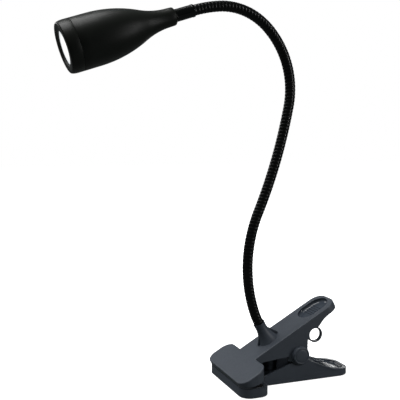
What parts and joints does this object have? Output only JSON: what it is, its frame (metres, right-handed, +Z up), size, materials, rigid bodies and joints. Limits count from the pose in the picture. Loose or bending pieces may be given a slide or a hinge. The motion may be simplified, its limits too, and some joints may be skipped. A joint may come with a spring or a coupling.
{
  "type": "clip-on reading lamp",
  "caption": "Clip-on reading lamp: a spring clamp with finger grips carries a flexible gooseneck and a small bullet-shaped lamp head that shines through a round front lens.",
  "frame": {"origin": "middle of the lower jaw's gripping face, where the edge of the shelf or book is held", "axes": "+Z up, square to that face; +X from the jaws to the finger grips; +Y across the clip, along its pivot pin, away from the cheek with the hanging eye"},
  "size_m": [0.2294, 0.071, 0.2909],
  "materials": {
    "clip_plastic": "moulded, dark blue-grey, satin with a fine even grain",
    "pad_rubber": "soft black rubber, dull",
    "zinc_steel": "zinc-plated steel",
    "grommet_rubber": "black rubber, dull",
    "neck_steel": "black-coated ribbed steel, glossy",
    "cable_sheath": "black cable sheath, satin",
    "ferrule_steel": "black lacquered steel, glossy",
    "head_plastic": "moulded, near black, satin",
    "lens_frosted": "frosted clear plastic, lit white from behind",
    "reflector_aluminium": "spun and polished",
    "board_white": "aluminium-core board, white solder mask",
    "phosphor": "yellow phosphor under clear silicone",
    "sink_aluminium": "bare extruded aluminium",
    "lead_sheath": "silicone-sheathed wire"
  },
  "bodies": {
    "lower_clip": {"lower_lever": "clip_plastic", "lower_jaw_pad": "pad_rubber", "spring_coil": "zinc_steel"},
    "upper_clip": {"upper_lever": "clip_plastic", "upper_jaw_pad": "pad_rubber", "pivot_pin": "zinc_steel", "pivot_cap_near": "clip_plastic", "pivot_cap_far": "clip_plastic", "spring_free_leg": "zinc_steel", "cord_inlet_grommet": "grommet_rubber", "neck_stud": "zinc_steel", "neck_nut": "zinc_steel", "neck_lock_washer": "zinc_steel", "neck_tube_00": "neck_steel", "neck_cable_00": "cable_sheath"},
    "neck_01": {"neck_tube_01": "neck_steel", "neck_cable_01": "cable_sheath"},
    "neck_02": {"neck_tube_02": "neck_steel", "neck_cable_02": "cable_sheath"},
    "neck_03": {"neck_tube_03": "neck_steel", "neck_cable_03": "cable_sheath"},
    "neck_04": {"neck_tube_04": "neck_steel", "neck_cable_04": "cable_sheath"},
    "neck_05": {"neck_tube_05": "neck_steel", "neck_cable_05": "cable_sheath"},
    "neck_06": {"neck_tube_06": "neck_steel", "neck_cable_06": "cable_sheath"},
    "neck_07": {"neck_tube_07": "neck_steel", "neck_cable_07": "cable_sheath"},
    "neck_08": {"neck_tube_08": "neck_steel", "neck_cable_08": "cable_sheath"},
    "neck_09": {"neck_tube_09": "neck_steel", "neck_cable_09": "cable_sheath"},
    "neck_10": {"neck_tube_10": "neck_steel", "neck_cable_10": "cable_sheath"},
    "neck_11": {"neck_tube_11": "neck_steel", "neck_cable_11": "cable_sheath"},
    "head": {"neck_tube_12": "neck_steel", "neck_cable_12": "cable_sheath", "neck_ferrule": "ferrule_steel", "head_shell": "head_plastic", "front_bezel": "head_plastic", "lens": "lens_frosted", "reflector": "reflector_aluminium", "led_board": "board_white", "led_chip": "phosphor", "heat_sink": "sink_aluminium", "board_screws": "zinc_steel", "head_stud": "zinc_steel", "head_nut": "zinc_steel", "led_leads": "lead_sheath"}
  },
  "joints": [
    {"name": "clip_pivot", "type": "hinge", "parent": "lower_clip", "child": "upper_clip", "pos_m": [0.0509, 0, 0.01452], "axis": [0, 1, 0], "range_deg": [0, 40], "stiffness_Nm_per_rad": 0.55, "springref_deg": -63.03},
    {"name": "neck_bend_01", "type": "hinge", "parent": "upper_clip", "child": "neck_01", "pos_m": [0.01744, 0, 0.05065], "axis": [0, 1, 0], "range_deg": [-20, 20]},
    {"name": "neck_bend_02", "type": "hinge", "parent": "neck_01", "child": "neck_02", "pos_m": [0.01268, 0, 0.07538], "axis": [-0.9973, 0, -0.0737], "range_deg": [-20, 20]},
    {"name": "neck_bend_03", "type": "hinge", "parent": "neck_02", "child": "neck_03", "pos_m": [0.01375, 0, 0.10055], "axis": [0, 1, 0], "range_deg": [-20, 20]},
    {"name": "neck_bend_04", "type": "hinge", "parent": "neck_03", "child": "neck_04", "pos_m": [0.0206, 0, 0.1248], "axis": [-0.9243, 0, 0.3817], "range_deg": [-20, 20]},
    {"name": "neck_bend_05", "type": "hinge", "parent": "neck_04", "child": "neck_05", "pos_m": [0.02993, 0, 0.14826], "axis": [0, 1, 0], "range_deg": [-20, 20]},
    {"name": "neck_bend_06", "type": "hinge", "parent": "neck_05", "child": "neck_06", "pos_m": [0.03775, 0, 0.17226], "axis": [-0.9602, 0, 0.2795], "range_deg": [-20, 20]},
    {"name": "neck_bend_07", "type": "hinge", "parent": "neck_06", "child": "neck_07", "pos_m": [0.04403, 0, 0.19672], "axis": [0, 1, 0], "range_deg": [-20, 20]},
    {"name": "neck_bend_08", "type": "hinge", "parent": "neck_07", "child": "neck_08", "pos_m": [0.04741, 0, 0.22166], "axis": [-0.9995, 0, -0.0303], "range_deg": [-20, 20]},
    {"name": "neck_bend_09", "type": "hinge", "parent": "neck_08", "child": "neck_09", "pos_m": [0.0418, 0, 0.24611], "axis": [0, 1, 0], "range_deg": [-20, 20]},
    {"name": "neck_bend_10", "type": "hinge", "parent": "neck_09", "child": "neck_10", "pos_m": [0.0273, 0, 0.26659], "axis": [-0.6855, 0, -0.7281], "range_deg": [-20, 20]},
    {"name": "neck_bend_11", "type": "hinge", "parent": "neck_10", "child": "neck_11", "pos_m": [0.00535, 0, 0.2785], "axis": [0, 1, 0], "range_deg": [-20, 20]},
    {"name": "neck_bend_12", "type": "hinge", "parent": "neck_11", "child": "head", "pos_m": [-0.01968, 0, 0.27837], "axis": [0.1895, 0, -0.9819], "range_deg": [-20, 20]}
  ]
}
